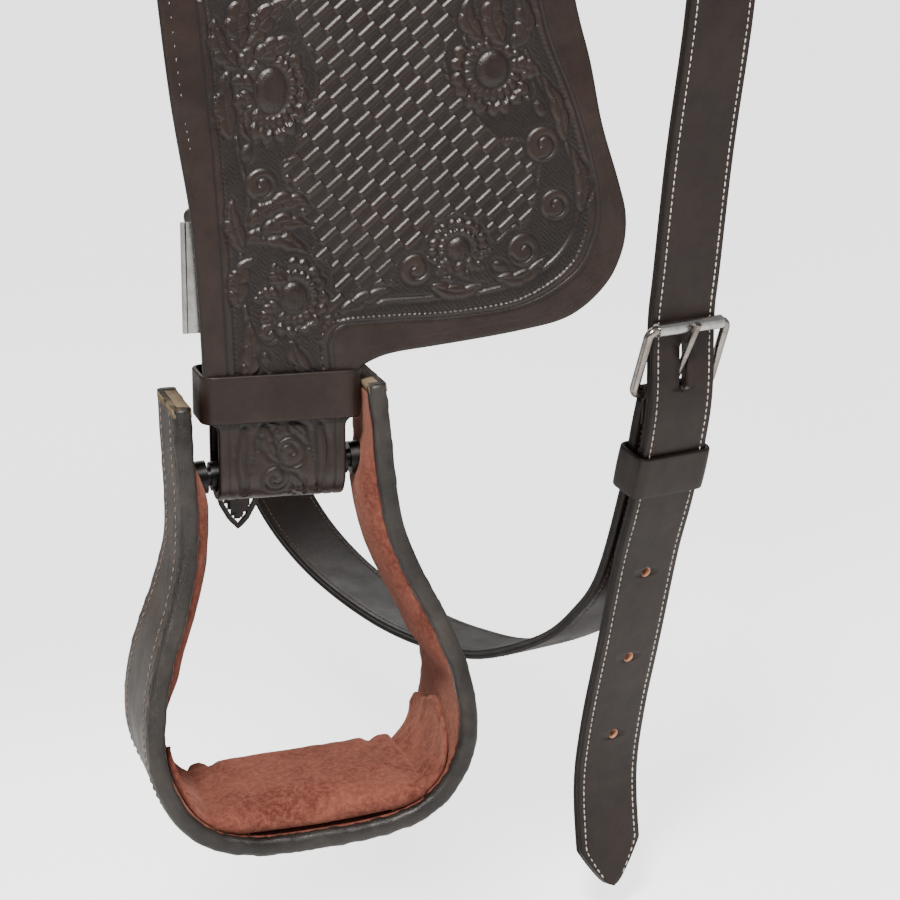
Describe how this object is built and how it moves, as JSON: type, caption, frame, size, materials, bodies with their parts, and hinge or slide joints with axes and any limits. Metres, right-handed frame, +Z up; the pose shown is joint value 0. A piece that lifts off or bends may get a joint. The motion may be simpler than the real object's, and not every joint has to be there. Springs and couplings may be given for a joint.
{
  "type": "western saddle",
  "caption": "Western riding saddle with horn, deep seat, tooled fenders, suede-lined bell stirrups and a buckled flank cinch.",
  "frame": {"origin": "top of the round back form that the saddle sits on, on the saddle's middle plane, level with the stirrup leathers", "axes": "+X to the cantle, -Y to the near (left) side, +Z up"},
  "size_m": [0.685, 0.708, 1.0905],
  "materials": {
    "tree_wood": "matte",
    "black_metal": "satin",
    "steel": "satin",
    "horn_leather": "satin",
    "dark_leather": "satin",
    "seat_leather": "satin",
    "fleece": "matte",
    "nickel": "polished",
    "tooled_leather": "satin",
    "stirrup_leather": "worn satin",
    "suede": "matte",
    "strap_leather": "satin"
  },
  "bodies": {
    "saddle": {"tree_bars": "tree_wood", "fork": "tree_wood", "cantle_board": "tree_wood", "ground_seat": "black_metal", "horn_core": "steel", "horn_wrap": "horn_leather", "horn_cap": "horn_leather", "swell_cover": "dark_leather", "seat": "seat_leather", "cantle_back": "dark_leather", "cantle_binding": "dark_leather", "near_skirt": "dark_leather", "off_skirt": "dark_leather", "near_fleece": "fleece", "off_fleece": "fleece", "near_front_jockey": "dark_leather", "off_front_jockey": "dark_leather", "near_rear_jockey": "dark_leather", "off_rear_jockey": "dark_leather", "near_rigging": "dark_leather", "off_rigging": "dark_leather", "rear_dees": "nickel", "conchos": "nickel", "near_leather_loop": "dark_leather", "off_leather_loop": "dark_leather"},
    "near_front_ring": {"near_front_dee": "nickel"},
    "near_upper": {"near_fender_top": "tooled_leather"},
    "near_panel": {"near_fender": "tooled_leather", "near_stirrup_leather": "dark_leather", "near_leather_buckle": "nickel"},
    "near_leg_end": {"near_leg": "tooled_leather", "near_hobble_strap": "dark_leather"},
    "near_stirrup": {"near_stirrup_bow": "tree_wood", "near_stirrup_cover": "stirrup_leather", "near_stirrup_lining": "suede", "near_tread_pad": "suede", "near_stirrup_bolt": "black_metal"},
    "near_roller_body": {"near_roller": "black_metal"},
    "off_front_ring": {"off_front_dee": "nickel"},
    "off_upper": {"off_fender_top": "tooled_leather"},
    "off_panel": {"off_fender": "tooled_leather", "off_stirrup_leather": "dark_leather", "off_leather_buckle": "nickel"},
    "off_leg_end": {"off_leg": "tooled_leather", "off_hobble_strap": "dark_leather"},
    "off_stirrup": {"off_stirrup_bow": "tree_wood", "off_stirrup_cover": "stirrup_leather", "off_stirrup_lining": "suede", "off_tread_pad": "suede", "off_stirrup_bolt": "black_metal"},
    "off_roller_body": {"off_roller": "black_metal"},
    "flank": {"near_billet": "strap_leather", "off_billet": "strap_leather", "flank_strap": "strap_leather", "near_flank_buckle": "nickel", "off_flank_buckle": "nickel"},
    "near_tongue": {"near_flank_tongue": "nickel"},
    "near_buckle_roller": {"near_flank_roller": "nickel"},
    "off_tongue": {"off_flank_tongue": "nickel"},
    "off_buckle_roller": {"off_flank_roller": "nickel"}
  },
  "joints": [
    {"name": "near_front_dee_swing", "type": "hinge", "parent": "saddle", "child": "near_front_ring", "pos_m": [-0.205, -0.26303, -0.16958], "axis": [-1, 0, 0], "range_deg": [0, 60]},
    {"name": "near_fender_lift", "type": "hinge", "parent": "saddle", "child": "near_upper", "pos_m": [0.014, -0.25336, -0.10076], "axis": [-1, 0, 0], "range_deg": [0, 60]},
    {"name": "near_fender_swing", "type": "hinge", "parent": "near_upper", "child": "near_panel", "pos_m": [0.014, -0.25336, -0.10076], "axis": [0, 1, 0], "range_deg": [-10, 20]},
    {"name": "near_stirrup_turn", "type": "hinge", "parent": "near_panel", "child": "near_leg_end", "pos_m": [0, -0.29405, -0.5], "axis": [0, 0, 1], "range_deg": [-90, 90]},
    {"name": "near_stirrup_swing", "type": "hinge", "parent": "near_leg_end", "child": "near_stirrup", "pos_m": [0.00405, -0.28291, -0.551], "axis": [0.9374, -0.3412, 0.0698], "range_deg": [-35, 35]},
    {"name": "near_roller_spin", "type": "hinge", "parent": "near_stirrup", "child": "near_roller_body", "pos_m": [0.00405, -0.28291, -0.551], "axis": [0.9374, -0.3412, 0.0698], "continuous": true},
    {"name": "off_front_dee_swing", "type": "hinge", "parent": "saddle", "child": "off_front_ring", "pos_m": [-0.205, 0.26303, -0.16958], "axis": [1, 0, 0], "range_deg": [0, 60]},
    {"name": "off_fender_lift", "type": "hinge", "parent": "saddle", "child": "off_upper", "pos_m": [0.014, 0.25336, -0.10076], "axis": [1, 0, 0], "range_deg": [0, 60]},
    {"name": "off_fender_swing", "type": "hinge", "parent": "off_upper", "child": "off_panel", "pos_m": [0.014, 0.25336, -0.10076], "axis": [0, 1, 0], "range_deg": [-10, 20]},
    {"name": "off_stirrup_turn", "type": "hinge", "parent": "off_panel", "child": "off_leg_end", "pos_m": [0, 0.29405, -0.5], "axis": [0, 0, 1], "range_deg": [-90, 90]},
    {"name": "off_stirrup_swing", "type": "hinge", "parent": "off_leg_end", "child": "off_stirrup", "pos_m": [0.00405, 0.28291, -0.551], "axis": [0.9374, 0.3412, 0.0698], "range_deg": [-35, 35]},
    {"name": "off_roller_spin", "type": "hinge", "parent": "off_stirrup", "child": "off_roller_body", "pos_m": [0.00405, 0.28291, -0.551], "axis": [0.9374, 0.3412, 0.0698], "continuous": true},
    {"name": "flank_swing", "type": "hinge", "parent": "saddle", "child": "flank", "pos_m": [0.285, 0, -0.20784], "axis": [0, 1, 0], "range_deg": [-8, 8]},
    {"name": "near_tongue_lift", "type": "hinge", "parent": "flank", "child": "near_tongue", "pos_m": [0.285, -0.237, -0.557], "axis": [1, 0, 0], "range_deg": [0, 15]},
    {"name": "near_flank_roller_spin", "type": "hinge", "parent": "flank", "child": "near_buckle_roller", "pos_m": [0.285, -0.251, -0.52], "axis": [1, 0, 0], "continuous": true},
    {"name": "off_tongue_lift", "type": "hinge", "parent": "flank", "child": "off_tongue", "pos_m": [0.285, 0.237, -0.557], "axis": [-1, 0, 0], "range_deg": [0, 15]},
    {"name": "off_flank_roller_spin", "type": "hinge", "parent": "flank", "child": "off_buckle_roller", "pos_m": [0.285, 0.251, -0.52], "axis": [1, 0, 0], "continuous": true}
  ]
}
